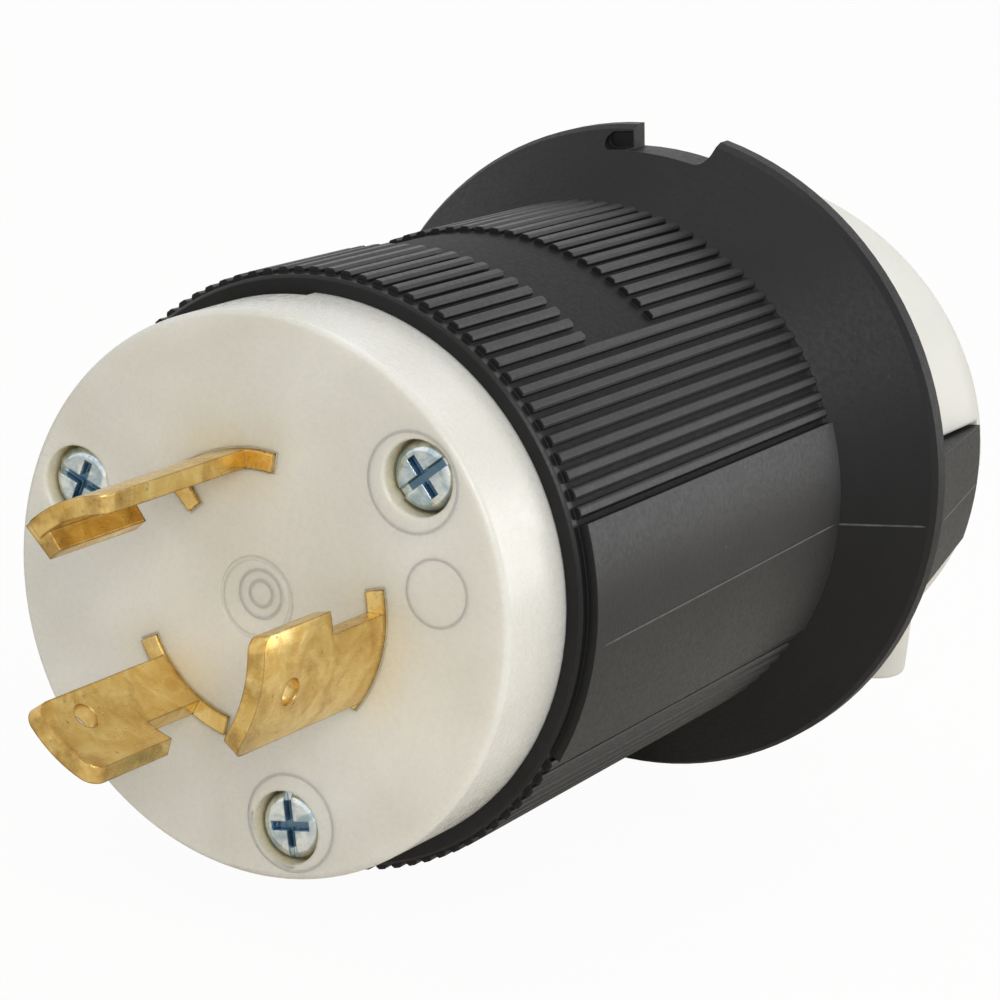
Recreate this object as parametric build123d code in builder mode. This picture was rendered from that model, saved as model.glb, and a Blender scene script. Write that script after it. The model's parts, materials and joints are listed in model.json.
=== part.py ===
from build123d import *
import os
from math import atan2, cos, degrees, radians, sin, sqrt

# Locking power plug for a flexible cord, three curved blades, one of them the ground
# Origin: on the plug's axis, at the flat mating face
# The blades point along -Y, the cord leaves along +Y, +Z goes up through the notch of the flange
# Angles are seen from the front, counter-clockwise from +X
# Millimetres


# Driving dimensions
face_radius = 23.0
face_length = 8.9
face_round = 0.5
blade_length = 17.2
ground_blade_extra = 1.6
body_length = 62.7
rim_radius = 29.8
clamp_length = 23.8

# Clearances
seat_clearance = 0.2
slot_clearance = 0.15
shaft_clearance = 0.1
seam_gap = 0.12
press_gap = 0.02
overcut = 1.0

# Front body
spigot_length = 5.5
bore_radius = 21.6
spigot_radius = bore_radius - seat_clearance
key_depth = 0.5
key_width = 1.3
key_start = 97.0
key_end = 125.0
gate_ring_radius = 3.4
gate_ring_width = 0.35
mark_depth = 0.12

# Assembly screws, a pan head with a slot and a cross in it
screw_count = 3
screw_circle_radius = 18.75
screw_phase = 44.4
screw_radius = 1.5
screw_length = 31.0
head_radius = 2.8
head_height = 1.9
head_round = 0.9
driver_width = 0.75
driver_depth = 0.8
driver_cross = 3.6
screw_well_radius = 3.05
screw_well_depth = 2.7
screw_well_round = 0.3

# Blades, sectors of one tube about the axis
blade_inner = 10.5
blade_thickness = 1.5
blade_outer = blade_inner + blade_thickness
lock_height = 7.4
tip_round = 1.3
flange_setback = 0.35
tip_spare = 4.0
blade_hole_radius = 1.1
blade_hole_back = 4.4
shoulder_proud = 0.3
trap_angle = 4.0
tail_half_angle = 12.0
tail_end = 30.0
flange_inner = 8.8

# Each blade's angles: start, neck end and tip end, the shoulder's two ends, and its hole or None
ground_angles = (100.5, 126.0, 141.0, 87.6, 141.0, None)
right_angles = (-29.5, 9.0, 17.8, -33.0, 17.8, -6.5)
left_angles = (220.3, 246.5, 260.0, 211.0, 262.0, 232.8)

# How far each blade's tip is cut aslant, as an angle; a plus sign leaves its first side the longer one
ground_slant = 0.0
right_slant = 9.0
left_slant = 0.0

# Shell
shell_wall = 1.95
base_radius = bore_radius + shell_wall
shell_draft = 0.8
rib_height = 0.55
rib_pitch = 3.5
rib_half_angle = 1.15
rib_shoulder = 0.22
rib_setback = 1.0
rib_root = 0.4
rib_back = 8.2
ribs_a_side = 19
window_ribs = 10
window_start = 23.9
window_end = 35.4
panel_half_angle = 23.0
panel_height = 0.9
front_chamfer = 0.25
waist_depth = 0.45
flare_length = 6.7
rim_width = 1.8
rim_edge = 0.35
lip_wall = 3.0
lip_length = 1.0
groove_depth = 0.5
groove_length = 1.5
bulkhead = 1.8
entry_radius = 11.0
notch_turn = 1.7
notch_half_angle = 8.2
notch_depth = 2.1
notch_round = 1.2
pocket_width = 2.4
pocket_height = 1.5
pocket_depth = 1.1
ear_half_angle = 11.8
ear_length = 16.2
ear_taper = 3.1
ear_wall = 2.2
ear_flush = 0.04
boss_radius = 3.2
boss_web = 5.1
boss_end = 34.0
insert_radius = 2.2
insert_length = 6.0

# Blade retainer
plate_thickness = 3.0
post_radius = 9.4
post_end = 34.0
fin_reach = 15.1
fin_thickness = 1.8

# Terminals
terminal_at = 23.0
terminal_screw_radius = 1.6
terminal_head_radius = 2.9
terminal_head_height = 1.8
clamp_plate = 1.2
wire_space = 1.4
clamp_plate_width = 7.0
clamp_plate_length = 8.0
plate_lip = 0.8
nut_width = 5.0
nut_depth = 2.4

# Cord clamp
dome_flat = 6.6
dome_oval = 0.895
dome_wall = 2.6
split_gap = 2.4
collar_length = 1.1
collar_clearance = 0.2
cord_radius = 9.0
grip_thickness = 3.0
grip_inset = 3.1
grip_spacing = 11.0
grip_bite = 0.5
ear_recess = 0.25
ear_play_angle = 0.8
clamp_screw_inset = 6.4
clamp_screw_back = 9.6
clamp_boss_radius = 3.7
clamp_boss_rise = 8.1
clamp_boss_round = 0.6
clamp_screw_radius = 1.5
clamp_head_radius = 2.7
clamp_head_height = 2.0
clamp_head_sink = 0.6
upper_boss_radius = 3.2
upper_boss_rise = 16.0
clamp_insert_start = 4.0
clamp_insert_length = 6.0
clamp_insert_cover = 1.0

# Dust seal
seal_lip = 2.4
seal_lip_thickness = 1.0
seal_rear_lip = 1.4
seal_rear_thickness = 0.7
seal_wall = 1.2
seal_hole = 4.0
seal_skin = 0.8

# Derived places along the axis
inner_face = face_length + spigot_length
plate_end = inner_face + plate_thickness
shell_front = face_length
rim_front = body_length
rim_rear = rim_front + rim_width
groove_end = rim_rear - lip_length
groove_start = groove_end - groove_length
lip_bore = rim_radius - lip_wall
groove_bore = lip_bore + groove_depth
notch_floor = rim_radius - notch_depth
rib_end = rim_front - rib_back
waist_end = rim_front - flare_length
bulkhead_front = groove_start - bulkhead
waist_radius = base_radius - waist_depth
flare = (rim_radius - waist_radius) / (rim_front - waist_end)
ribs_start = shell_front + rib_setback
crest_radius = base_radius + rib_height
panel_radius = base_radius + panel_height
draft_angle = atan2(shell_draft, rib_end - shell_front)
ear_start = rim_rear - lip_length / 2
ear_end = rim_front + ear_length
split_half = split_gap / 2
jaw_front = groove_start + collar_clearance
collar_radius = groove_bore - collar_clearance
dome_radius = lip_bore - seat_clearance
dome_round = dome_radius - entry_radius - dome_flat
dome_end = rim_front + clamp_length
dome_start = dome_end - dome_round
grip_first = rim_rear + grip_inset
grip_second = grip_first + grip_spacing
clamp_screw_x = dome_radius - clamp_screw_inset
clamp_screw_y = rim_rear + clamp_screw_back
clamp_boss_reach = dome_radius - clamp_boss_rise
upper_boss_reach = dome_radius - upper_boss_rise
clamp_head_seat = clamp_boss_reach - clamp_head_sink - clamp_head_height
ground_length = blade_length + ground_blade_extra
slot_inner = blade_inner - slot_clearance
slot_outer = blade_outer + slot_clearance
slot_angle = degrees(slot_clearance / blade_inner)
hook_start = ground_angles[2] - degrees(blade_thickness / blade_inner)
pocket_turn = notch_half_angle + degrees((pocket_width - pocket_height / 2) / notch_floor)
pocket_middle = notch_floor + pocket_height / 2
pocket_floor = waist_end + (pocket_middle - waist_radius) / flare + pocket_depth


def across(y):
    """Plane square to the plug's axis at a place along it, seen from the front."""
    return Plane.XZ.offset(-y)


class RingSector(BaseSketchObject):
    """Flat sector between two radii and two angles."""

    def __init__(self, inner, outer, start, end, mode=Mode.ADD):
        with BuildSketch() as sector:
            with BuildLine():
                far = CenterArc((0, 0), outer, start, end - start)
                near = CenterArc((0, 0), inner, start, end - start)
                Line(near @ 0, far @ 0)
                Line(near @ 1, far @ 1)
            make_face()
        super().__init__(obj=sector.sketch_local.face(), rotation=0, align=None, mode=mode)


def screw_places():
    """Places of the assembly screws on their circle."""
    return PolarLocations(screw_circle_radius, screw_count, start_angle=screw_phase)


# Front body, a thick white disc with a spigot that fits in the shell
blade_angles = (ground_angles, right_angles, left_angles)
with BuildPart() as front_body:
    with BuildSketch(Plane.XY):
        with BuildLine():
            Polyline(
                (0, 0),
                (face_radius - face_round, 0),
            )
            CenterArc((face_radius - face_round, face_round), face_round, -90, 90)
            Polyline(
                (face_radius, face_round),
                (face_radius, face_length),
                (spigot_radius, face_length),
                (spigot_radius, inner_face),
                (0, inner_face),
                (0, 0),
            )
        make_face()
    revolve(axis=Axis.Y)
    with BuildSketch(across(0)):
        with screw_places():
            Circle(screw_well_radius)
    extrude(amount=-screw_well_depth, mode=Mode.SUBTRACT)
    well_mouths = front_body.edges().filter_by(GeomType.CIRCLE).group_by(Axis.Y)[0].group_by(SortBy.RADIUS)[0]
    fillet(well_mouths, screw_well_round)
    with BuildSketch(across(0)):
        with screw_places():
            Circle(screw_radius + shaft_clearance)
    extrude(amount=-inner_face, mode=Mode.SUBTRACT)
    for start, neck, tip, first, last, hole in blade_angles:
        with BuildSketch(across(0)):
            RingSector(slot_inner, slot_outer, first - slot_angle, last + slot_angle)
        extrude(amount=-inner_face, mode=Mode.SUBTRACT)
        with BuildSketch(across(face_length)):
            trap_turn = trap_angle + slot_angle
            RingSector(slot_inner, slot_outer, first - trap_turn, last + trap_turn)
        extrude(amount=-spigot_length, mode=Mode.SUBTRACT)
    with BuildSketch(across(0)):
        hook_inner = flange_inner - slot_clearance
        RingSector(hook_inner, blade_outer, hook_start - slot_angle, ground_angles[2] + slot_angle)
    extrude(amount=-inner_face, mode=Mode.SUBTRACT)
    with BuildSketch(across(face_length - key_width)):
        RingSector(face_radius - key_depth, face_radius + overcut, key_start, key_end)
    extrude(amount=-key_width, mode=Mode.SUBTRACT)
    with BuildSketch(across(0)):
        Circle(gate_ring_radius)
        Circle(gate_ring_radius - gate_ring_width, mode=Mode.SUBTRACT)
    extrude(amount=-mark_depth, mode=Mode.SUBTRACT)


def radial_plane(radius, y, angle):
    """Plane facing away from the axis, at a radius, a place along the axis and an angle."""
    outward = Vector(cos(radians(angle)), 0, sin(radians(angle)))
    return Plane(origin=outward * radius + Vector(0, y, 0), x_dir=(0, 1, 0), z_dir=outward)


def tail_angle(angles):
    """Angle of the middle of a blade's tail, where its terminal is."""
    return (angles[0] + angles[2]) / 2


def make_blade(angles, length, slant):
    """Curved blade: tip with its lock, neck, shoulder that shows at the face, trapped part and tail."""
    start, neck, tip, first, last, hole = angles
    middle = tail_angle(angles)
    with BuildPart() as blade:
        with BuildSketch(across(-length - tip_spare)):
            RingSector(blade_inner, blade_outer, start, tip)
        extrude(amount=-(length + tip_spare - lock_height))
        tip_middle = radial_plane(blade_inner, -length, (start + tip) / 2)
        tip_cut = Plane(origin=tip_middle.origin, x_dir=tip_middle.z_dir, z_dir=tip_middle.x_dir)
        split(bisect_by=tip_cut.rotated((-slant, 0, 0)), keep=Keep.TOP)
        front = blade.faces().sort_by(Axis.Y)[0]
        fillet(front.edges().filter_by(GeomType.LINE), tip_round)
        with BuildSketch(across(-lock_height)):
            RingSector(blade_inner, blade_outer, start, neck)
        extrude(amount=-lock_height)
        with BuildSketch(across(-shoulder_proud)):
            RingSector(blade_inner, blade_outer, first, last)
        extrude(amount=-(shoulder_proud + inner_face))
        with BuildSketch(across(face_length + slot_clearance)):
            RingSector(blade_inner, blade_outer, first - trap_angle, last + trap_angle)
        extrude(amount=-(spigot_length - slot_clearance))
        with BuildSketch(across(inner_face)):
            RingSector(blade_inner, blade_outer, middle - tail_half_angle, middle + tail_half_angle)
        extrude(amount=-(tail_end - inner_face))
        with BuildSketch(radial_plane(post_radius, terminal_at, middle)):
            Circle(terminal_screw_radius + shaft_clearance)
        extrude(amount=blade_outer, mode=Mode.SUBTRACT)
        if hole is not None:
            with BuildSketch(radial_plane(post_radius, blade_hole_back - length, hole)):
                Circle(blade_hole_radius)
            extrude(amount=blade_outer, mode=Mode.SUBTRACT)
    return blade


blade_right = make_blade(right_angles, blade_length, right_slant)
blade_left = make_blade(left_angles, blade_length, left_slant)

# The ground blade also has a flange turned inward at its locking end, which makes its hook
with BuildPart() as blade_ground:
    add(make_blade(ground_angles, ground_length, ground_slant).part)
    with BuildSketch(across(flange_setback - ground_length)):
        RingSector(flange_inner, blade_outer, hook_start, ground_angles[2])
    extrude(amount=-(ground_length - flange_setback - lock_height))
    with BuildSketch(across(-shoulder_proud)):
        RingSector(flange_inner, blade_outer, hook_start, ground_angles[2])
    extrude(amount=-(shoulder_proud + inner_face))

# Assembly screws, three of one size
with BuildPart() as assembly_screws:
    head_seat = screw_well_depth
    with BuildSketch(across(head_seat)):
        with screw_places():
            Circle(head_radius)
    extrude(amount=head_height)
    fillet(assembly_screws.faces().sort_by(Axis.Y)[0:screw_count].edges(), head_round)
    with BuildSketch(across(head_seat)):
        with screw_places():
            Circle(screw_radius)
    extrude(amount=-screw_length)
    with BuildSketch(across(head_seat - head_height)):
        with screw_places():
            Rectangle(2 * head_radius, driver_width)
            Rectangle(driver_width, driver_cross)
    extrude(amount=-driver_depth, mode=Mode.SUBTRACT)

# Shell: one black moulding, a ribbed tube with a flared rim, two ears and three screw bosses inside
rib_first = 90 - (ribs_a_side - 0.5) * rib_pitch
window_first = 90 - (window_ribs - 0.5) * rib_pitch
rib_half_width = crest_radius * sin(radians(rib_half_angle))
rib_points = (
    (-rib_root, -rib_half_width),
    (rib_height - rib_shoulder, -rib_half_width),
    (rib_height, rib_shoulder - rib_half_width),
    (rib_height, rib_half_width - rib_shoulder),
    (rib_height - rib_shoulder, rib_half_width),
    (-rib_root, rib_half_width),
)


def drafted(y):
    """How much wider the tube's outside is at a place along the axis than at the rear end of the ribs."""
    return shell_draft * (rib_end - y) / (rib_end - shell_front)


def rib_plane(y, angle):
    """Plane at the tube's outside and square to it, with its x direction outward, seen from the front."""
    turn, reach = radians(angle), base_radius + drafted(y)
    return Plane(
        origin=(reach * cos(turn), y, reach * sin(turn)),
        x_dir=(cos(draft_angle) * cos(turn), sin(draft_angle), cos(draft_angle) * sin(turn)),
        z_dir=(sin(draft_angle) * cos(turn), -cos(draft_angle), sin(draft_angle) * sin(turn)),
    )


def rib_angles(first, count):
    """Angles of a run of ribs, and of the same run on the other side of the plug."""
    run = [first + rib_pitch * index for index in range(count)]
    return run + [angle + 180 for angle in run]


with BuildPart() as shell:
    with BuildSketch(Plane.XY):
        with BuildLine():
            Polyline(
                (bore_radius, shell_front),
                (base_radius + shell_draft - front_chamfer, shell_front),
                (base_radius + drafted(shell_front + front_chamfer), shell_front + front_chamfer),
                (base_radius, rib_end),
                (base_radius, rib_end + rib_root),
                (waist_radius, rib_end + rib_root + front_chamfer),
                (waist_radius, waist_end),
                (rim_radius - rim_edge, rim_front - rim_edge / flare),
                (rim_radius, rim_front + rim_edge),
                (rim_radius, rim_rear),
                (lip_bore, rim_rear),
                (lip_bore, groove_end),
                (groove_bore, groove_end),
                (groove_bore, groove_start),
                (entry_radius, groove_start),
                (entry_radius, bulkhead_front),
                (waist_radius + (bulkhead_front - waist_end) * flare - shell_wall, bulkhead_front),
                (bore_radius, waist_end + (bore_radius + shell_wall - waist_radius) / flare),
                (bore_radius, shell_front),
            )
        make_face()
    revolve(axis=Axis.Y)

    # Ribs that run the whole length, then the shorter ones in front of and behind the bare window
    outer_count = ribs_a_side - window_ribs
    far_first = 180 - rib_first - (outer_count - 1) * rib_pitch
    long_ribs = rib_angles(rib_first, outer_count) + rib_angles(far_first, outer_count)
    with BuildSketch(*[rib_plane(ribs_start, angle) for angle in long_ribs]):
        Polygon(*rib_points, align=None)
    extrude(amount=-(rib_end - ribs_start))
    for near, far in ((ribs_start, window_start), (window_end, rib_end)):
        with BuildSketch(*[rib_plane(near, angle) for angle in rib_angles(window_first, 2 * window_ribs)]):
            Polygon(*rib_points, align=None)
        extrude(amount=-(far - near))

    # Smooth raised panels over the parting line, one on each side
    for side in (0, 180):
        with BuildSketch(Plane.XY.rotated((0, -panel_half_angle - side, 0))):
            with BuildLine():
                Polyline(
                    (base_radius - rib_root, ribs_start),
                    (panel_radius + drafted(ribs_start), ribs_start),
                    (panel_radius, rib_end),
                    (base_radius - rib_root, rib_end),
                    (base_radius - rib_root, ribs_start),
                )
            make_face()
        revolve(axis=Axis.Y, revolution_arc=2 * panel_half_angle)

    # Ears that reach back over the clamp
    for side in (0, 180):
        with BuildSketch(Plane.XY.rotated((0, -ear_half_angle - side, 0))):
            with BuildLine():
                Polyline(
                    (rim_radius - ear_flush, ear_start),
                    (rim_radius - ear_flush, rim_rear),
                    (rim_radius - ear_taper, ear_end),
                    (rim_radius - ear_taper - ear_wall, ear_end),
                    (lip_bore + ear_flush, rim_rear + ear_wall),
                    (lip_bore + ear_flush, ear_start),
                    (rim_radius - ear_flush, ear_start),
                )
            make_face()
        revolve(axis=Axis.Y, revolution_arc=2 * ear_half_angle)

    # Notches in the rim, at the top and the bottom, each with one round corner and a pocket beside it
    for turn in (0, 180):
        notch_plane = across(bulkhead_front).rotated((0, 0, turn + notch_turn))
        with BuildSketch(notch_plane) as notch:
            RingSector(notch_floor, rim_radius + overcut, 90 - notch_half_angle, 90 + notch_half_angle)
            floor_corners = notch.vertices().sort_by_distance((0, 0))[0:2]
            fillet(floor_corners.sort_by(Axis.X)[-1], notch_round)
        extrude(amount=-(rim_rear + overcut - bulkhead_front), mode=Mode.SUBTRACT)
        with BuildSketch(notch_plane):
            with Locations(Rotation(0, 0, 90 + pocket_turn)):
                with Locations((pocket_middle, 0)):
                    Circle(pocket_height / 2)
                with Locations((pocket_middle, -pocket_width / 2)):
                    Rectangle(pocket_height, pocket_width)
        extrude(amount=-(pocket_floor - bulkhead_front), mode=Mode.SUBTRACT)

    # Bosses for the assembly screws
    with BuildSketch(across(plate_end + seam_gap)):
        with screw_places():
            Circle(boss_radius)
            with Locations((boss_radius / 2, 0)):
                Rectangle(boss_radius, boss_web)
    extrude(amount=-(boss_end - plate_end - seam_gap))
    with BuildSketch(across(plate_end)):
        with screw_places():
            Circle(screw_radius + shaft_clearance)
    extrude(amount=-(boss_end + overcut - plate_end), mode=Mode.SUBTRACT)
    with BuildSketch(across(boss_end - insert_length)):
        with screw_places():
            Circle(insert_radius + press_gap)
    extrude(amount=-insert_length, mode=Mode.SUBTRACT)

# Threaded inserts in the ends of the shell's bosses
with BuildPart() as boss_inserts:
    with BuildSketch(across(boss_end - insert_length)):
        with screw_places():
            Circle(insert_radius)
            Circle(screw_radius + shaft_clearance / 2, mode=Mode.SUBTRACT)
    extrude(amount=-insert_length)

# Blade retainer: a plate that traps the blades, with a post and three fins between the terminals
with BuildPart() as blade_retainer:
    with BuildSketch(across(inner_face)):
        Circle(spigot_radius)
        with screw_places():
            Circle(screw_radius + shaft_clearance, mode=Mode.SUBTRACT)
        for angles in blade_angles:
            middle = tail_angle(angles)
            reach = tail_half_angle + slot_angle
            RingSector(slot_inner, slot_outer, middle - reach, middle + reach, mode=Mode.SUBTRACT)
    extrude(amount=-plate_thickness)
    with BuildSketch(across(plate_end)):
        Circle(post_radius)
        with PolarLocations(fin_reach / 2, screw_count, start_angle=screw_phase):
            Rectangle(fin_reach, fin_thickness)
    extrude(amount=-(post_end - plate_end))
    for angles in blade_angles:
        nut_plane = radial_plane(post_radius - nut_depth, terminal_at, tail_angle(angles))
        with BuildSketch(nut_plane):
            Rectangle(nut_width + slot_clearance, nut_width + slot_clearance)
        extrude(amount=nut_depth + overcut, mode=Mode.SUBTRACT)


def at_terminal(radius, angles):
    """Plane square to a terminal screw, at a radius."""
    return radial_plane(radius, terminal_at, tail_angle(angles))


def make_terminal_screw(angles):
    """Slotted screw that pinches a wire between the blade's tail and a clamp plate."""
    head_seat = blade_outer + wire_space + clamp_plate
    with BuildPart() as screw:
        with BuildSketch(at_terminal(post_radius - nut_depth + seam_gap, angles)):
            Circle(terminal_screw_radius)
        extrude(amount=head_seat - post_radius + nut_depth - seam_gap)
        with BuildSketch(at_terminal(head_seat, angles)):
            Circle(terminal_head_radius)
        extrude(amount=terminal_head_height)
        with BuildSketch(at_terminal(head_seat + terminal_head_height - driver_depth, angles)):
            Rectangle(2 * terminal_head_radius, driver_width)
        extrude(amount=driver_depth, mode=Mode.SUBTRACT)
    return screw


terminal_screw_right = make_terminal_screw(right_angles)
terminal_screw_left = make_terminal_screw(left_angles)
terminal_screw_ground = make_terminal_screw(ground_angles)

# Square nuts in the post
with BuildPart() as terminal_nuts:
    for angles in blade_angles:
        with BuildSketch(at_terminal(post_radius - nut_depth, angles)):
            Rectangle(nut_width, nut_width)
            Circle(terminal_screw_radius + shaft_clearance / 2, mode=Mode.SUBTRACT)
        extrude(amount=nut_depth)


def make_clamp_plate(angles):
    """Plate under a terminal screw's head, with a lip at each end that keeps the wire in."""
    seat = at_terminal(blade_outer + wire_space, angles)
    with BuildPart() as plate:
        with BuildSketch(seat):
            Rectangle(clamp_plate_length, clamp_plate_width)
            Circle(terminal_screw_radius + shaft_clearance / 2, mode=Mode.SUBTRACT)
        extrude(amount=clamp_plate)
        with BuildSketch(seat):
            for side in (-1, 1):
                with Locations((side * (clamp_plate_length - clamp_plate) / 2, 0)):
                    Rectangle(clamp_plate, clamp_plate_width)
        extrude(amount=-plate_lip)
    return plate


clamp_plate_right = make_clamp_plate(right_angles)
clamp_plate_left = make_clamp_plate(left_angles)
clamp_plate_ground = make_clamp_plate(ground_angles)

# Dust seal: a soft grommet in the cord entry, with a thin skin and a small hole in it
with BuildPart() as dust_seal:
    neck_radius = entry_radius - shaft_clearance
    with BuildSketch(Plane.XY):
        with BuildLine():
            Polyline(
                (seal_hole, groove_start),
                (seal_hole, groove_start - seal_skin),
                (neck_radius - seal_wall, groove_start - seal_skin),
                (neck_radius - seal_wall, bulkhead_front - seal_lip_thickness),
                (neck_radius + seal_lip, bulkhead_front - seal_lip_thickness),
                (neck_radius + seal_lip, bulkhead_front),
                (neck_radius, bulkhead_front),
                (neck_radius, groove_start),
                (neck_radius + seal_rear_lip, groove_start),
                (neck_radius + seal_rear_lip, groove_start + seal_rear_thickness),
                (neck_radius - seal_wall, groove_start + seal_rear_thickness),
                (neck_radius - seal_wall, groove_start),
                (seal_hole, groove_start),
            )
        make_face()
    revolve(axis=Axis.Y)

# Cord clamp: two white half domes with a gap between them, drawn together by two screws
round_centre = dome_radius - dome_round


def dome_radius_at(y):
    """Outer radius of the dome at a place in its rounded end."""
    return round_centre + sqrt(dome_round**2 - (y - dome_start) ** 2)


def clamp_places():
    """Places of the two clamp screws, seen from above."""
    return Locations((clamp_screw_x, clamp_screw_y), (-clamp_screw_x, clamp_screw_y))


def make_dome():
    """The dome before it is split: an oval cup, wider than it is high, on a round shoulder and a collar."""
    second_outer = dome_radius_at(grip_second + grip_thickness) - grip_bite
    with BuildPart() as dome:
        with BuildSketch(Plane.XY):
            with BuildLine():
                Polyline(
                    (dome_radius - dome_wall, dome_start),
                    (dome_radius - dome_wall, jaw_front),
                    (dome_radius, jaw_front),
                    (dome_radius, dome_start),
                )
                CenterArc((round_centre, dome_start), dome_round, 0, 90)
                Polyline(
                    (round_centre, dome_end),
                    (0, dome_end),
                    (0, dome_end - dome_wall),
                    (round_centre, dome_end - dome_wall),
                )
                CenterArc((round_centre, dome_start), dome_round - dome_wall, 0, 90)
            make_face()
        revolve(axis=Axis.Y)
        for place, outer in ((grip_first, dome_radius - dome_wall + grip_bite), (grip_second, second_outer)):
            with BuildSketch(across(place)):
                Circle(outer)
            extrude(amount=-grip_thickness)
        scale(by=(1, 1, dome_oval))
        inner_width = dome_radius - dome_wall
        for radius, front, rear in (
            (collar_radius, jaw_front, jaw_front + collar_length),
            (dome_radius, jaw_front, rim_rear),
        ):
            with BuildSketch(across(front)):
                Circle(radius)
                Ellipse(inner_width, inner_width * dome_oval, mode=Mode.SUBTRACT)
            extrude(amount=-(rear - front))
        with BuildSketch(across(rim_rear)):
            Circle(cord_radius)
        extrude(amount=-clamp_length, mode=Mode.SUBTRACT)
        with BuildSketch(across(dome_end - dome_wall)):
            Circle(entry_radius)
        extrude(amount=-dome_wall, mode=Mode.SUBTRACT)
    return dome


clamp_dome = make_dome()


def make_jaw(side):
    """Half of the clamp with its screw bosses: side 1 is the upper half and side -1 the lower one."""
    boss = upper_boss_radius if side == 1 else clamp_boss_radius
    reach = upper_boss_reach if side == 1 else clamp_boss_reach
    with BuildPart() as jaw:
        with BuildSketch(Plane.XY):
            with clamp_places():
                Circle(boss)
        extrude(amount=side * reach)
        end_faces = jaw.faces().filter_by(Plane.XY).sort_by(Axis.Z, reverse=side == 1)[0:2]
        fillet(end_faces.edges(), clamp_boss_round)
        add(clamp_dome.part)
        for ear_side in (0, 180):
            opening = ear_half_angle + ear_play_angle
            with BuildSketch(Plane.XY.rotated((0, -opening - ear_side, 0))):
                with BuildLine():
                    Polyline(
                        (lip_bore - ear_recess, rim_rear + ear_wall),
                        (rim_radius - ear_taper - ear_wall - ear_recess, ear_end + ear_recess),
                        (rim_radius, ear_end + ear_recess),
                        (rim_radius, rim_rear + ear_wall),
                        (lip_bore - ear_recess, rim_rear + ear_wall),
                    )
                make_face()
            revolve(axis=Axis.Y, revolution_arc=2 * opening, mode=Mode.SUBTRACT)
        if side == -1:
            with BuildSketch(Plane.XY.offset(-dome_radius)):
                with clamp_places():
                    Circle(clamp_head_radius + slot_clearance)
            extrude(amount=dome_radius - clamp_head_seat, mode=Mode.SUBTRACT)
            with BuildSketch(Plane.XY):
                with clamp_places():
                    Circle(clamp_screw_radius + shaft_clearance)
            extrude(amount=-reach, mode=Mode.SUBTRACT)
        else:
            with BuildSketch(Plane.XY):
                with clamp_places():
                    Circle(clamp_screw_radius + shaft_clearance)
            extrude(amount=clamp_insert_start + clamp_insert_length, mode=Mode.SUBTRACT)
            with BuildSketch(Plane.XY.offset(clamp_insert_start)):
                with clamp_places():
                    Circle(insert_radius + press_gap)
            extrude(amount=clamp_insert_length, mode=Mode.SUBTRACT)
        with BuildSketch(Plane.XY.offset(side * split_half)):
            with Locations((0, dome_end)):
                Rectangle(4 * dome_radius, 2 * dome_end)
        extrude(amount=-side * 2 * dome_radius, mode=Mode.SUBTRACT)
    return jaw


clamp_upper = make_jaw(1)
clamp_lower = make_jaw(-1)

# Clamp screws, their heads sunk in the lower bosses, and the inserts that they turn in
with BuildPart() as clamp_screws:
    with BuildSketch(Plane.XY.offset(-clamp_head_seat)):
        with clamp_places():
            Circle(clamp_head_radius)
    extrude(amount=-clamp_head_height)
    with BuildSketch(Plane.XY.offset(-clamp_head_seat)):
        with clamp_places():
            Circle(clamp_screw_radius)
    extrude(amount=clamp_head_seat + clamp_insert_start + clamp_insert_length - clamp_insert_cover)
    with BuildSketch(Plane.XY.offset(-clamp_head_seat - clamp_head_height)):
        with clamp_places():
            Rectangle(2 * clamp_head_radius, driver_width)
            Rectangle(driver_width, driver_cross)
    extrude(amount=driver_depth, mode=Mode.SUBTRACT)

with BuildPart() as clamp_inserts:
    with BuildSketch(Plane.XY.offset(clamp_insert_start)):
        with clamp_places():
            Circle(insert_radius)
            Circle(clamp_screw_radius + shaft_clearance / 2, mode=Mode.SUBTRACT)
    extrude(amount=clamp_insert_length)

# Write each piece
pieces = {
    "front_body": front_body,
    "blade_ground": blade_ground,
    "blade_right": blade_right,
    "blade_left": blade_left,
    "assembly_screws": assembly_screws,
    "boss_inserts": boss_inserts,
    "shell": shell,
    "blade_retainer": blade_retainer,
    "terminal_screw_ground": terminal_screw_ground,
    "terminal_screw_right": terminal_screw_right,
    "terminal_screw_left": terminal_screw_left,
    "terminal_nuts": terminal_nuts,
    "clamp_plate_ground": clamp_plate_ground,
    "clamp_plate_right": clamp_plate_right,
    "clamp_plate_left": clamp_plate_left,
    "dust_seal": dust_seal,
    "clamp_upper": clamp_upper,
    "clamp_lower": clamp_lower,
    "clamp_screws": clamp_screws,
    "clamp_inserts": clamp_inserts,
}
os.makedirs("parts", exist_ok=True)
for name, piece in pieces.items():
    piece.part.label = name
    export_step(piece.part, f"parts/{name}.step")
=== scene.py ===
import json
from math import cos, radians, sin

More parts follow.
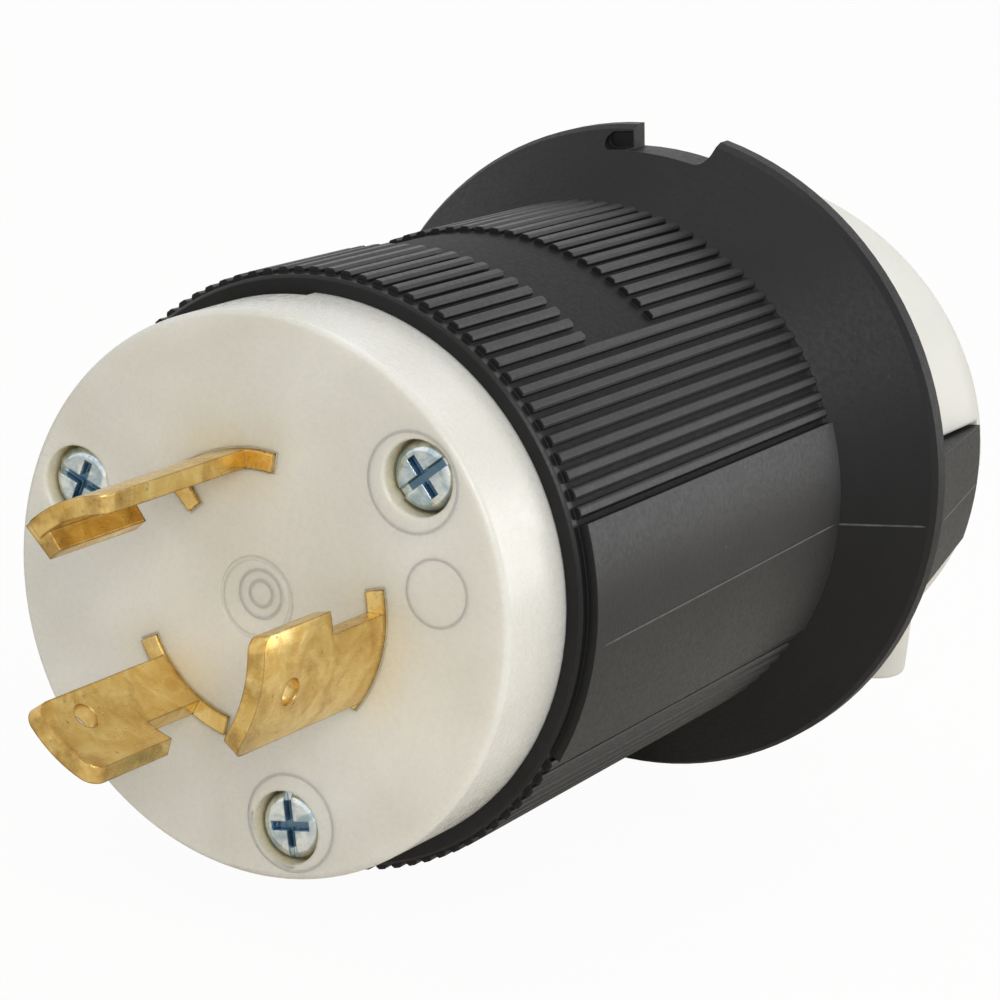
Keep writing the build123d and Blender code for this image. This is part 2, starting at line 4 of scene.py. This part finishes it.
import bmesh
import bpy
import numpy as np
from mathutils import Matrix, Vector

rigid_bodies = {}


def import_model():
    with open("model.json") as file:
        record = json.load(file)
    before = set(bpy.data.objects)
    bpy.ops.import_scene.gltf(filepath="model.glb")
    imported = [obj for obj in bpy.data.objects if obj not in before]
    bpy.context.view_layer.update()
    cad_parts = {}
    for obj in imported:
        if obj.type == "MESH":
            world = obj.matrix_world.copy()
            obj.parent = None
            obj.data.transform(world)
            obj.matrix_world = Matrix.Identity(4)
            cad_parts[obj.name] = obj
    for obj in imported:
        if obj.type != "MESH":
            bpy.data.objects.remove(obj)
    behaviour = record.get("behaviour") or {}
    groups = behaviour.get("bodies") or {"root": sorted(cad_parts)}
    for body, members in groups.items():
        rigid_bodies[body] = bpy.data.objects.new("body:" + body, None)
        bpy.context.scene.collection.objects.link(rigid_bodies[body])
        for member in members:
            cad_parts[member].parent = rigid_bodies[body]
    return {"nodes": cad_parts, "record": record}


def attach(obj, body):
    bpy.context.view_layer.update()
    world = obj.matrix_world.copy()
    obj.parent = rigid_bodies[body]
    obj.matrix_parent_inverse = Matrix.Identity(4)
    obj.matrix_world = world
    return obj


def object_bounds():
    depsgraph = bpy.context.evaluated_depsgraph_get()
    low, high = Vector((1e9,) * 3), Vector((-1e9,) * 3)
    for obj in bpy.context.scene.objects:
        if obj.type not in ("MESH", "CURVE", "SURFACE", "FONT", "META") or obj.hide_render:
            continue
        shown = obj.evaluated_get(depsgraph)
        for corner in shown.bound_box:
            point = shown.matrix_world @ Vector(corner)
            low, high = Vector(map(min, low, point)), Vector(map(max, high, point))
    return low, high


# Blender's starting objects are cleared, so that the box measured below is the plug's alone
for leftover in list(bpy.data.objects):
    bpy.data.objects.remove(leftover)

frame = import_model()
cad_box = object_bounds()

# Lengths are in metres. The plug's axis is Y: the blades point along -Y, the cord end along +Y.
# An angle is measured about the axis from +X towards +Z, in degrees.
MM = 0.001

# The ribbed tube: its outside narrows from the front of the shell to the rear ends of the ribs
TUBE_RADIUS = 23.55 * MM
TUBE_DRAFT = 0.8 * MM
SHELL_FRONT = 8.9 * MM
RIBS_REAR = 54.5 * MM
PANEL_LINE = [(25.23 * MM, 10.0 * MM), (24.46 * MM, 54.4 * MM)]
PANEL_RISE = radians(2.0)
FLARE_LINE = [(23.1 * MM, 56.0 * MM), (29.35 * MM, 62.2 * MM)]
EAR_LINE = [(29.72 * MM, 64.7 * MM), (26.78 * MM, 78.5 * MM)]
WAIST_START = 54.8 * MM
WAIST_END = 56.5 * MM

# The face: the circle of its screws, the slots of its blades, the angle at which the painted warm light
# beside the blades starts its pattern, and the stretch of the blades where a dark reflection is painted at
# the tips
SCREW_CIRCLE = 18.75 * MM
SCREW_PHASE = 44.4
SCREWS = 3
BLADE_INNER = 10.5 * MM
BLADE_OUTER = 12.0 * MM
BLADE_MIDDLE = 11.25 * MM
BLADE_PHASE = 112.0
BLADES = 3
HOOK_INNER = 8.8 * MM
HALF_GAP = 0.075 * MM
BLADE_SPANS = {"ground": (87.6, 141.0), "right": (-33.0, 17.8), "left": (211.0, 262.0)}
HOOK_START = 132.8
TIPS_END = -17.6 * MM
TIPS_START = -15.4 * MM

# Sections of the fine pieces: half their width, half their height, and how deep a tube lies under the face
FLASH_HALF_WIDTH = 0.10 * MM
FLASH_HALF_HEIGHT = 0.045 * MM
LIP_HALF_WIDTH = 0.085 * MM
LIP_HALF_HEIGHT = 0.11 * MM
LIP_DEPTH = 0.12 * MM
RING_HALF_WIDTH = 0.35 * MM
RING_HALF_HEIGHT = 0.06 * MM

# How finely the pieces are divided, how fast a flash line's ends grow to full width, the angle of a ring's
# last point before it closes, and how close points are merged
SECTION_POINTS = 10
FLASH_STEPS = 24
FLASH_POINT = 14.0
ARC_STEPS = 40
RING_LAST = 351.0
MERGE_WITHIN = 1e-7

# The middle of a noise pattern, which is stretched over the range that a finish asks for
NOISE_LOW = 0.3
NOISE_HIGH = 0.7
BEVEL_SAMPLES = 6

# The studio
FLOOR_DROP = 0.2 * MM
FLOOR_HALF = 3.0
FLOOR_GLOW = 0.96
FILL_LEVEL = 0.46
CAMERA_PLACE = (0.16271, -0.25697, 0.10191)
CAMERA_TURNS = (73.1002, -6.1224, 30.7699)
CAMERA_LENS = 146.634
CAMERA_SENSOR = 36.0
CAMERA_CLIP = (0.01, 20.0)


class Finish:
    """A material under construction: its node tree, its shader and the coordinates its patterns read."""

    def __init__(self, name):
        self.material = bpy.data.materials.new(name)
        self.material.use_nodes = True
        self.tree = self.material.node_tree
        self.shader = self.tree.nodes["Principled BSDF"]
        self.place = self.node("ShaderNodeTexCoord").outputs["Object"]

    def node(self, kind, settings=None, **inputs):
        """Adds a node, sets its properties and fills its inputs with values or with other nodes' outputs."""
        made = self.tree.nodes.new(kind)
        for key, value in (settings or {}).items():
            setattr(made, key, value)
        for key, value in inputs.items():
            self.fill(made.inputs[key.replace("_", " ")], value)
        return made

    def fill(self, socket, value):
        """Gives a socket a plain value or joins another node's output to it."""
        if isinstance(value, bpy.types.NodeSocket):
            self.tree.links.new(value, socket)
        else:
            socket.default_value = value

    def set(self, **inputs):
        """Fills the shader's own sockets."""
        for key, value in inputs.items():
            self.fill(self.shader.inputs[key.replace("_", " ")], value)

    def stretched(self, scale_xyz):
        """Object coordinates multiplied along each axis, for a pattern drawn out in one direction."""
        return self.node("ShaderNodeMapping", Vector=self.place, Scale=scale_xyz).outputs["Vector"]

    def noise(self, scale, detail=4.0, rough=0.5, warp=0.0, where=None):
        """Cloudy pattern between 0 and 1, its features about 1/scale metres across."""
        return self.node("ShaderNodeTexNoise", Vector=where or self.place, Scale=scale, Detail=detail,
                         Roughness=rough, Distortion=warp).outputs["Fac"]

    def span(self, value, low, high, to_low, to_high):
        """Carries a pattern from one range of numbers to another and cuts it off at both ends."""
        made = self.node("ShaderNodeMapRange", Value=value)
        for key, number in (("From Min", low), ("From Max", high), ("To Min", to_low), ("To Max", to_high)):
            made.inputs[key].default_value = number
        return made.outputs["Result"]

    def spread(self, pattern, to_low=0.0, to_high=1.0):
        """Carries the middle of a noise pattern to a range."""
        return self.span(pattern, NOISE_LOW, NOISE_HIGH, to_low, to_high)

    def blend(self, share, first, second):
        """Colour that runs from the first to the second as share goes from 0 to 1."""
        made = self.node("ShaderNodeMix", {"data_type": "RGBA"})
        self.fill(made.inputs["Factor"], share)
        self.fill(made.inputs["A"], first)
        self.fill(made.inputs["B"], second)
        return made.outputs["Result"]

    def step(self, kind, first, second=0.0):
        """One arithmetic step on two patterns or numbers."""
        made = self.node("ShaderNodeMath", {"operation": kind})
        self.fill(made.inputs[0], first)
        self.fill(made.inputs[1], second)
        return made.outputs["Value"]

    def product(self, *patterns):
        """All the patterns or numbers multiplied together."""
        total = patterns[0]
        for pattern in patterns[1:]:
            total = self.step("MULTIPLY", total, pattern)
        return total

    def across(self, kind, point=(0.0, 0.0, 0.0)):
        """Length or distance measured square to the plug's axis, in metres."""
        flat = self.node("ShaderNodeVectorMath", {"operation": "MULTIPLY"})
        self.fill(flat.inputs[0], self.place)
        flat.inputs[1].default_value = (1.0, 0.0, 1.0)
        reach = self.node("ShaderNodeVectorMath", {"operation": kind})
        self.fill(reach.inputs[0], flat.outputs["Vector"])
        reach.inputs[1].default_value = point
        return reach.outputs["Value"]

    def from_screws(self):
        """Distance from the axis of the nearest screw in the face, in metres."""
        gaps = []
        for index in range(SCREWS):
            turn = radians(SCREW_PHASE + 360.0 / SCREWS * index)
            centre = (SCREW_CIRCLE * cos(turn), 0.0, SCREW_CIRCLE * sin(turn))
            gaps.append(self.across("DISTANCE", centre))
        nearest = gaps[0]
        for gap in gaps[1:]:
            nearest = self.step("MINIMUM", nearest, gap)
        return nearest

    def along(self):
        """Place along the plug's axis, in metres."""
        return self.node("ShaderNodeSeparateXYZ", Vector=self.place).outputs["Y"]

    def turn(self):
        """Angle about the plug's axis, in radians."""
        parts = self.node("ShaderNodeSeparateXYZ", Vector=self.place)
        return self.step("ARCTAN2", parts.outputs["Z"], parts.outputs["X"])

    def rounded(self, radius):
        """Normals that run round every sharp edge as if it had this radius."""
        return self.node("ShaderNodeBevel", {"samples": BEVEL_SAMPLES}, Radius=radius).outputs["Normal"]

    def edge(self, radius):
        """Pattern that is 0 on flats and rises towards 1 within this radius of a sharp edge."""
        straight = self.node("ShaderNodeNewGeometry").outputs["Normal"]
        dot = self.node("ShaderNodeVectorMath", {"operation": "DOT_PRODUCT"})
        self.fill(dot.inputs[0], straight)
        self.fill(dot.inputs[1], self.rounded(radius))
        return self.span(dot.outputs["Value"], 0.75, 1.0, 1.0, 0.0)

    def bump(self, height, depth, under=None, strength=1.0):
        """Normals disturbed by a pattern of this depth in metres, on top of other normals."""
        made = self.node("ShaderNodeBump", Height=height, Distance=depth, Strength=strength)
        if under is not None:
            self.fill(made.inputs["Normal"], under)
        return made.outputs["Normal"]


def colour(red, green, blue):
    """Opaque colour from its three shares."""
    return (red, green, blue, 1.0)


def white_nylon(name, lit, shaded, gloss, paint_warm_light_and_shade):
    """Unpigmented nylon: milky, a little translucent, with faint flow marks and a fine satin grain.

    On the face, warm light is painted beside the brass, as though the metal shone through the nylon, and
    warm shade is painted in the screw wells.
    """
    made = Finish(name)
    clouds = made.noise(60.0, 2.0, 0.45, 0.6)
    flow = made.noise(1.0, 3.0, 0.4, 0.8, made.stretched((110.0, 30.0, 110.0)))
    mixed = made.product(clouds, made.spread(flow, 0.8, 1.2))
    base = made.blend(made.span(mixed, 0.32, 0.68, 0.0, 1.0), shaded, lit)
    if paint_warm_light_and_shade:
        # Painted warm light on one side of each blade, in patches, as if the brass shone through the nylon
        off_blades = made.step("ABSOLUTE", made.step("SUBTRACT", made.across("LENGTH"), BLADE_MIDDLE))
        beside = made.span(off_blades, 0.7 * MM, 4.2 * MM, 1.0, 0.0)
        from_ground = made.step("SUBTRACT", made.turn(), radians(BLADE_PHASE))
        repeated = made.step("COSINE", made.step("MULTIPLY", from_ground, float(BLADES)))
        blade_side = made.span(repeated, -0.35, 0.5, 0.0, 1.0)
        patches = made.span(made.noise(260.0, 3.0), 0.3, 0.6, 0.6, 1.0)
        glow = made.product(beside, blade_side, patches, 0.34)
        # Painted warm shade on the walls of the screw wells, stronger further in
        near_screw = made.span(made.from_screws(), 2.9 * MM, 3.5 * MM, 1.0, 0.0)
        wells = made.product(near_screw, made.span(made.along(), 0.1 * MM, 1.2 * MM, 0.25, 0.8))
        front = made.span(made.along(), 2.6 * MM, 3.4 * MM, 1.0, 0.0)
        painted_warmth = made.product(made.step("MAXIMUM", glow, wells), front)
        base = made.blend(painted_warmth, base, colour(0.69, 0.59, 0.33))
    made.set(Base_Color=base)
    made.set(Roughness=made.spread(made.noise(1400.0, 3.0), gloss - 0.05, gloss + 0.07))
    made.set(Subsurface_Weight=0.45, Subsurface_Scale=0.0024, IOR=1.5)
    made.shader.inputs["Subsurface Radius"].default_value = (1.0, 0.9, 0.75)
    grain = made.bump(made.noise(2600.0, 3.0, 0.5), 2.5e-6, made.rounded(0.0003))
    made.set(Normal=made.bump(made.noise(150.0, 2.0), 2.5e-5, grain, 0.4))
    return made.material


def black_nylon(name):
    """Black moulded nylon: painted shade in the grooves and behind the waist, edges paler (wear and painted
    highlight) and smoother, with fine specks.
    """
    made = Finish(name)
    edge = made.edge(0.00016)
    along = made.along()
    behind_waist = made.span(along, WAIST_START, WAIST_END, 0.0, 1.0)
    tone = made.spread(made.noise(120.0, 4.0, 0.6, 0.4))
    # The flange and ears behind the waist get a darker copy of the tube's colour: painted shade
    tube = made.blend(tone, colour(0.0075, 0.0075, 0.008), colour(0.013, 0.013, 0.0135))
    painted_shade_rim = made.blend(tone, colour(0.004, 0.004, 0.0045), colour(0.0075, 0.0075, 0.008))
    plain = made.blend(behind_waist, tube, painted_shade_rim)
    # Painted shade: the groove floors between the ribs are darkened almost to black
    draft = made.span(along, SHELL_FRONT, RIBS_REAR, TUBE_DRAFT, 0.0)
    above = made.step("SUBTRACT", made.step("SUBTRACT", made.across("LENGTH"), draft), TUBE_RADIUS)
    painted_groove_shade = made.product(made.span(above, 0.06 * MM, 0.34 * MM, 1.0, 0.0),
                          made.span(along, 9.6 * MM, 10.1 * MM, 0.0, 1.0),
                          made.span(along, 54.0 * MM, 54.6 * MM, 1.0, 0.0))
    base = made.blend(made.product(painted_groove_shade, 0.85), plain, colour(0.0015, 0.0015, 0.0015))
    specks = made.node("ShaderNodeTexVoronoi", {"feature": "F1"}, Vector=made.place, Scale=420.0)
    dust = made.product(made.span(specks.outputs["Distance"], 0.03, 0.07, 1.0, 0.0),
                        made.span(made.noise(170.0, 2.0), 0.62, 0.66, 0.0, 1.0))
    # Edges are paler: partly wear, partly a painted highlight along the edges
    wear_and_painted_highlight = made.blend(made.product(edge, 0.4), base, colour(0.03, 0.03, 0.03))
    made.set(Base_Color=made.blend(made.product(dust, 0.4), wear_and_painted_highlight, colour(0.18, 0.18, 0.18)))
    grain = made.noise(2300.0, 5.0, 0.62)
    satin = made.step("SUBTRACT", made.spread(grain, 0.30, 0.44), made.product(edge, 0.12))
    matt = made.step("ADD", made.product(painted_groove_shade, 0.30), made.product(behind_waist, 0.12))
    made.set(Roughness=made.step("ADD", satin, matt))
    made.set(IOR=1.33)
    made.set(Normal=made.bump(grain, 2.4e-5, made.rounded(0.00016), 0.7))
    return made.material


def flash_with_painted_highlight(name):
    """Thin nylon skin squeezed out at the mould's joint: paler than the body, partly real and partly a
    painted highlight, and a little rough.
    """
    made = Finish(name)
    patches = made.noise(900.0, 4.0, 0.6)
    share = made.span(patches, 0.35, 0.65, 0.0, 1.0)
    # Paler patches: partly real flash, partly a painted highlight on the raised line
    made.set(Base_Color=made.blend(share, colour(0.03, 0.03, 0.031), colour(0.09, 0.09, 0.093)))
    made.set(Roughness=made.spread(patches, 0.40, 0.56), IOR=1.45)
    made.set(Normal=made.bump(patches, 1e-5))
    return made.material


def sheet_brass(name):
    """Stamped brass strip: drawn scratches along the blade, tarnish in patches, brown edges, and a painted
    dark reflection at the tips.
    """
    made = Finish(name)
    drawn = made.noise(1.0, 5.0, 0.65, 0.3, made.stretched((1900.0, 160.0, 1900.0)))
    smear = made.noise(330.0, 4.0, 0.6, 1.2)
    tarnish = made.span(made.noise(210.0, 5.0, 0.65, 0.9), 0.50, 0.74, 0.0, 0.7)
    gold = made.blend(made.spread(smear), colour(0.70, 0.44, 0.11), colour(0.94, 0.73, 0.31))
    aged = made.blend(tarnish, gold, colour(0.44, 0.23, 0.05))
    pits = made.span(made.noise(1300.0, 3.0, 0.6), 0.66, 0.74, 0.0, 0.6)
    marked = made.blend(pits, aged, colour(0.18, 0.09, 0.03))
    # Painted dark reflection at the tips, in patches
    tips = made.product(made.span(made.along(), TIPS_END, TIPS_START, 1.0, 0.0),
                        made.span(made.noise(420.0, 3.0, 0.6), 0.42, 0.60, 0.0, 0.6))
    dark_reflection_tips = made.blend(tips, marked, colour(0.26, 0.12, 0.025))
    edge = made.product(made.edge(0.00026), 0.75)
    made.set(Base_Color=made.blend(edge, dark_reflection_tips, colour(0.24, 0.11, 0.025)), Metallic=1.0)
    made.set(Roughness=made.step("ADD", made.spread(drawn, 0.16, 0.32), made.product(tarnish, 0.12)))
    made.set(Normal=made.bump(drawn, 8e-6, made.bump(smear, 5e-5, made.rounded(0.0003), 0.6)))
    return made.material


def bright_zinc(name, dark, light):
    """Blue-bright zinc on steel: uneven sheen, and painted dark blue shade in the drives of the face's
    screws.
    """
    made = Finish(name)
    along = made.along()
    patches = made.span(made.noise(620.0, 4.0, 0.6, 0.8), 0.38, 0.62, 0.0, 1.0)
    skin_tone = made.blend(patches, dark, light)
    # Painted shade: dark blue in the drive recess of each screw in the face
    painted_drive_shade = made.product(made.span(made.from_screws(), 1.9 * MM, 2.0 * MM, 1.0, 0.0),
                         made.span(along, 0.95 * MM, 1.25 * MM, 0.0, 1.0),
                         made.span(along, 2.2 * MM, 2.4 * MM, 1.0, 0.0))
    shown = made.blend(made.product(painted_drive_shade, 0.9), skin_tone, colour(0.07, 0.16, 0.25))
    edge = made.product(made.edge(0.00015), 0.45)
    made.set(Base_Color=made.blend(edge, shown, colour(0.08, 0.13, 0.17)), Metallic=1.0)
    made.set(Roughness=made.spread(made.noise(1500.0, 4.0), 0.10, 0.24))
    made.set(Normal=made.bump(made.noise(900.0, 4.0, 0.6), 5e-5, made.rounded(0.00022), 0.9))
    return made.material


def turned_metal(name, dark, light, rough):
    """Machined metal: fine turning lines in a soft random mix."""
    made = Finish(name)
    lines = made.noise(1.0, 4.0, 0.6, 0.0, made.stretched((400.0, 3200.0, 400.0)))
    made.set(Base_Color=made.blend(made.spread(lines), dark, light), Metallic=1.0)
    made.set(Roughness=made.spread(made.noise(900.0), rough - 0.06, rough + 0.08))
    made.set(Normal=made.bump(lines, 6e-6, made.rounded(0.00012)))
    return made.material


def plain_moulding(name, dark, light, rough, grain_scale):
    """Inner moulding or soft seal: plain matt body colour with a fine grain."""
    made = Finish(name)
    tone = made.noise(150.0, 4.0, 0.6)
    made.set(Base_Color=made.blend(made.spread(tone), dark, light))
    grain = made.noise(grain_scale, 4.0, 0.6)
    made.set(Roughness=made.spread(grain, rough - 0.06, rough + 0.08))
    made.set(Normal=made.bump(grain, 1.6e-5, made.rounded(0.00015)))
    return made.material


# One finish for each material slot that the frame's record names
finishes = {
    "white_nylon": white_nylon(
        "white_nylon_front", colour(0.79, 0.785, 0.735), colour(0.70, 0.69, 0.625), 0.27, True),
    "clamp_nylon": white_nylon(
        "white_nylon_clamp", colour(0.77, 0.765, 0.71), colour(0.72, 0.71, 0.65), 0.38, False),
    "black_nylon": black_nylon("black_nylon_shell"),
    "blade_brass": sheet_brass("brass_blades"),
    "insert_brass": turned_metal(
        "brass_turned", colour(0.60, 0.40, 0.15), colour(0.78, 0.58, 0.26), 0.28),
    "zinc_screw": bright_zinc("zinc_screws", colour(0.40, 0.52, 0.58), colour(0.86, 0.91, 0.92)),
    "nut_steel": bright_zinc("zinc_nuts", colour(0.50, 0.52, 0.55), colour(0.66, 0.70, 0.72)),
    "neutral_screw": turned_metal(
        "silvered_screw", colour(0.66, 0.66, 0.66), colour(0.82, 0.82, 0.82), 0.25),
    "live_screw": turned_metal(
        "brass_screw", colour(0.62, 0.44, 0.16), colour(0.80, 0.60, 0.27), 0.25),
    "ground_screw": turned_metal(
        "green_screw", colour(0.04, 0.22, 0.09), colour(0.07, 0.34, 0.15), 0.35),
    "grey_nylon": plain_moulding(
        "grey_nylon", colour(0.055, 0.055, 0.058), colour(0.085, 0.085, 0.09), 0.5, 1800.0),
    "seal_rubber": plain_moulding(
        "rubber_seal", colour(0.018, 0.018, 0.018), colour(0.03, 0.03, 0.03), 0.72, 2600.0),
}
for entry in frame["record"]["subparts"]:
    node = frame["nodes"][entry["node"]]
    node.material_slots[0].material = finishes[entry["material_slot"]]


def skin(name, grid, finish, closed):
    """Mesh over a grid of points whose rows run along the piece and whose columns run round its section.

    The section always closes; the rows close too when the piece is a ring. Points that fall together at a
    drawn-out end are merged, and the faces are turned outwards.
    """
    rows, around, _ = grid.shape
    row = np.arange(rows if closed else rows - 1)[:, None]
    spot = np.arange(around)[None, :]
    beside = (spot + 1) % around
    here, below = row * around, (row + 1) % rows * around
    quads = np.stack([here + spot, here + beside, below + beside, below + spot], -1).reshape(-1, 4)
    mesh = bpy.data.meshes.new(name)
    mesh.from_pydata(grid.reshape(-1, 3).tolist(), [], quads.tolist())
    shape = bmesh.new()
    shape.from_mesh(mesh)
    bmesh.ops.remove_doubles(shape, verts=shape.verts, dist=MERGE_WITHIN)
    bmesh.ops.recalc_face_normals(shape, faces=shape.faces)
    shape.to_mesh(mesh)
    shape.free()
    mesh.polygons.foreach_set("use_smooth", np.ones(len(mesh.polygons), dtype=bool))
    mesh.materials.append(finish)
    made = bpy.data.objects.new(name, mesh)
    bpy.context.scene.collection.objects.link(made)
    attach(made, "root")


def section_angles():
    """Angles of the points round a section, as one row."""
    return np.linspace(0.0, 2 * np.pi, SECTION_POINTS, endpoint=False)[None, :]


def flash_line(name, line, turns, finish):
    """Fine raised line from one point of the plug's side to another, its ends drawn to a point.

    line holds two (radius, place along the axis) points, and turns their angles about the axis in radians.
    With n the line's normal and s the direction round the axis, the point at angle a of a section is
    spine + n * half height * sin a + s * half width * cos a. Near either end both widths shrink to nothing
    as the square root of the distance from that end.
    """
    (near, start), (far, end) = line
    share = np.linspace(0.0, 1.0, FLASH_STEPS)[:, None]
    turn = turns[0] + (turns[1] - turns[0]) * share
    angle = section_angles()
    size = np.sqrt(np.clip(np.minimum(share, 1.0 - share) * FLASH_POINT, 0.0, 1.0))
    normal = np.array([end - start, near - far]) / np.hypot(end - start, near - far)
    lift = FLASH_HALF_HEIGHT * np.sin(angle) * size
    side = FLASH_HALF_WIDTH * np.cos(angle) * size
    reach = near + (far - near) * share + normal[0] * lift
    place = start + (end - start) * share + normal[1] * lift
    grid = np.stack([
        reach * np.cos(turn) - side * np.sin(turn),
        place,
        reach * np.sin(turn) + side * np.cos(turn),
    ], -1)
    skin(name, grid, finish, closed=False)


def face_tube(name, path, depth, half_width, half_height, finish):
    """Closed tube along a flat outline that lies at a depth under the face.

    With n the outline's normal in the face's plane, the point at angle a of a section is
    outline + n * half_width * cos a, at the depth + half_height * sin a.
    """
    angle = section_angles()
    ahead = np.roll(path, -1, 0) - np.roll(path, 1, 0)
    normal = np.stack([ahead[:, 1], -ahead[:, 0]], 1) / np.hypot(ahead[:, 0], ahead[:, 1])[:, None]
    across = path[:, None, :] + half_width * np.cos(angle)[..., None] * normal[:, None, :]
    level = np.broadcast_to(depth + half_height * np.sin(angle), across.shape[:2])
    skin(name, np.stack([across[..., 0], level, across[..., 1]], -1), finish, closed=True)


def arc(radius, start, end, centre=(0.0, 0.0)):
    """Points of an arc in the face's plane: centre + radius * (cos, sin) of angles from start to end."""
    angle = np.radians(np.linspace(start, end, ARC_STEPS))
    return np.stack([centre[0] + radius * np.cos(angle), centre[1] + radius * np.sin(angle)], 1)


# Mould flash along the parting line, on both sides of the plug
flash = flash_with_painted_highlight("mould_flash_painted_highlight")
flash_lines = {"panel": (PANEL_LINE, PANEL_RISE), "flare": (FLARE_LINE, 0.0), "ear": (EAR_LINE, 0.0)}
for place, (line, rise) in flash_lines.items():
    for side, turns in (("right", (0.0, rise)), ("left", (np.pi, np.pi - rise))):
        flash_line(f"flash_{place}_{side}", line, turns, flash)

# Soft lip of nylon that closes the slot round each blade, just under the face
face_nylon = finishes["white_nylon"]
low_wall, high_wall = BLADE_INNER - HALF_GAP, BLADE_OUTER + HALF_GAP
slack = float(np.degrees(HALF_GAP / BLADE_INNER))
for blade, (first, last) in BLADE_SPANS.items():
    outline = [arc(high_wall, first - slack, last + slack)]
    if blade == "ground":
        outline.append(arc(HOOK_INNER - HALF_GAP, last + slack, HOOK_START - slack))
        outline.append(arc(low_wall, HOOK_START - slack, first - slack))
    else:
        outline.append(arc(low_wall, last + slack, first - slack))
    face_tube(f"slot_lip_{blade}", np.concatenate(outline), LIP_DEPTH, LIP_HALF_WIDTH, LIP_HALF_HEIGHT,
              face_nylon)

# Low rings that the mould leaves on the face, the tops of sunk tubes: two at the gate, one at an ejector pin
# and one round each of two screw wells. In millimetres: centre, radius, and how far the ring stands out
rings = {
    "gate_ring_inner": ((0.45, 0.5), 1.05, 0.008),
    "gate_ring_middle": ((0.4, 0.45), 1.95, 0.006),
    "well_ring_right": ((13.05, 12.75), 4.0, 0.005),
    "well_ring_low": ((5.2, -17.5), 4.0, 0.005),
    "pin_ring": ((16.2, 4.6), 2.7, 0.004),
}
for name, (centre, radius, proud) in rings.items():
    path = arc(radius * MM, 0.0, RING_LAST, (centre[0] * MM, centre[1] * MM))
    face_tube(name, path, RING_HALF_HEIGHT - proud * MM, RING_HALF_WIDTH, RING_HALF_HEIGHT,
              face_nylon)


def studio_floor(level):
    """Square floor under the plug; its shader shows white to the camera and keeps a soft shadow."""
    corners = [(FLOOR_HALF * x, FLOOR_HALF * y, level) for x, y in ((-1, -1), (1, -1), (1, 1), (-1, 1))]
    mesh = bpy.data.meshes.new("floor")
    mesh.from_pydata(corners, [], [(0, 1, 2, 3)])
    made = bpy.data.objects.new("floor", mesh)
    bpy.context.scene.collection.objects.link(made)
    paint = Finish("floor_white")
    paint.set(Roughness=0.9, Specular_IOR_Level=0.1, Base_Color=colour(0.84, 0.80, 0.73))
    glow = paint.node("ShaderNodeEmission", Color=colour(1.0, 1.0, 1.0), Strength=1.0).outputs["Emission"]
    rays = paint.node("ShaderNodeLightPath")
    both = paint.node("ShaderNodeMixShader")
    paint.fill(both.inputs[0], paint.product(rays.outputs["Is Camera Ray"], FLOOR_GLOW))
    paint.fill(both.inputs[1], paint.shader.outputs["BSDF"])
    paint.fill(both.inputs[2], glow)
    paint.fill(paint.tree.nodes["Material Output"].inputs["Surface"], both.outputs["Shader"])
    mesh.materials.append(paint.material)


def studio_world():
    """White for the camera, for gloss and for transmission, and a plain pale fill for the rest."""
    world = bpy.data.worlds.new("studio")
    bpy.context.scene.world = world
    world.use_nodes = True
    tree = world.node_tree
    rays = tree.nodes.new("ShaderNodeLightPath")
    share = rays.outputs["Is Camera Ray"]
    for kind in ("Is Glossy Ray", "Is Transmission Ray"):
        either = tree.nodes.new("ShaderNodeMath")
        either.operation = "MAXIMUM"
        tree.links.new(share, either.inputs[0])
        tree.links.new(rays.outputs[kind], either.inputs[1])
        share = either.outputs["Value"]
    level = tree.nodes.new("ShaderNodeMapRange")
    level.inputs["To Min"].default_value = FILL_LEVEL
    level.inputs["To Max"].default_value = 1.0
    tree.links.new(share, level.inputs["Value"])
    background = tree.nodes["Background"]
    tree.links.new(level.outputs["Result"], background.inputs["Strength"])
    background.inputs["Color"].default_value = colour(1.0, 1.0, 1.0)


def softbox(name, place, aim, size, watts):
    """Square lamp at a place, turned to face a point."""
    lamp = bpy.data.lights.new(name, "AREA")
    lamp.shape = "SQUARE"
    lamp.size = size
    lamp.energy = watts
    made = bpy.data.objects.new(name, lamp)
    made.location = place
    made.rotation_mode = "QUATERNION"
    made.rotation_quaternion = (Vector(aim) - Vector(place)).to_track_quat("-Z", "Y")
    bpy.context.scene.collection.objects.link(made)


def studio_camera():
    """Camera at the photograph's viewpoint, turned by degrees about X, Y and Z; lens and sensor in mm."""
    data = bpy.data.cameras.new("camera")
    data.sensor_width = CAMERA_SENSOR
    data.lens = CAMERA_LENS
    data.clip_start, data.clip_end = CAMERA_CLIP
    made = bpy.data.objects.new("camera", data)
    made.location = CAMERA_PLACE
    made.rotation_euler = [radians(turn) for turn in CAMERA_TURNS]
    bpy.context.scene.collection.objects.link(made)
    bpy.context.scene.camera = made


studio_floor(cad_box[0].z - FLOOR_DROP)
studio_world()
# Each lamp: its place, the point it faces, its side in metres, and its power in watts
softbox("key_light", (0.30, -0.26, 0.26), (0.0, 0.0, 0.0), 0.22, 1.0)
softbox("side_light", (0.40, 0.50, 0.10), (0.0, 0.03, 0.0), 0.30, 0.7)
softbox("rear_light", (0.14, 0.60, 0.40), (0.0, 0.03, 0.0), 0.30, 0.2)
softbox("top_light", (-0.05, 0.05, 0.60), (0.0, 0.04, 0.0), 0.35, 0.7)
studio_camera()

bpy.context.scene.view_settings.view_transform = "Standard"
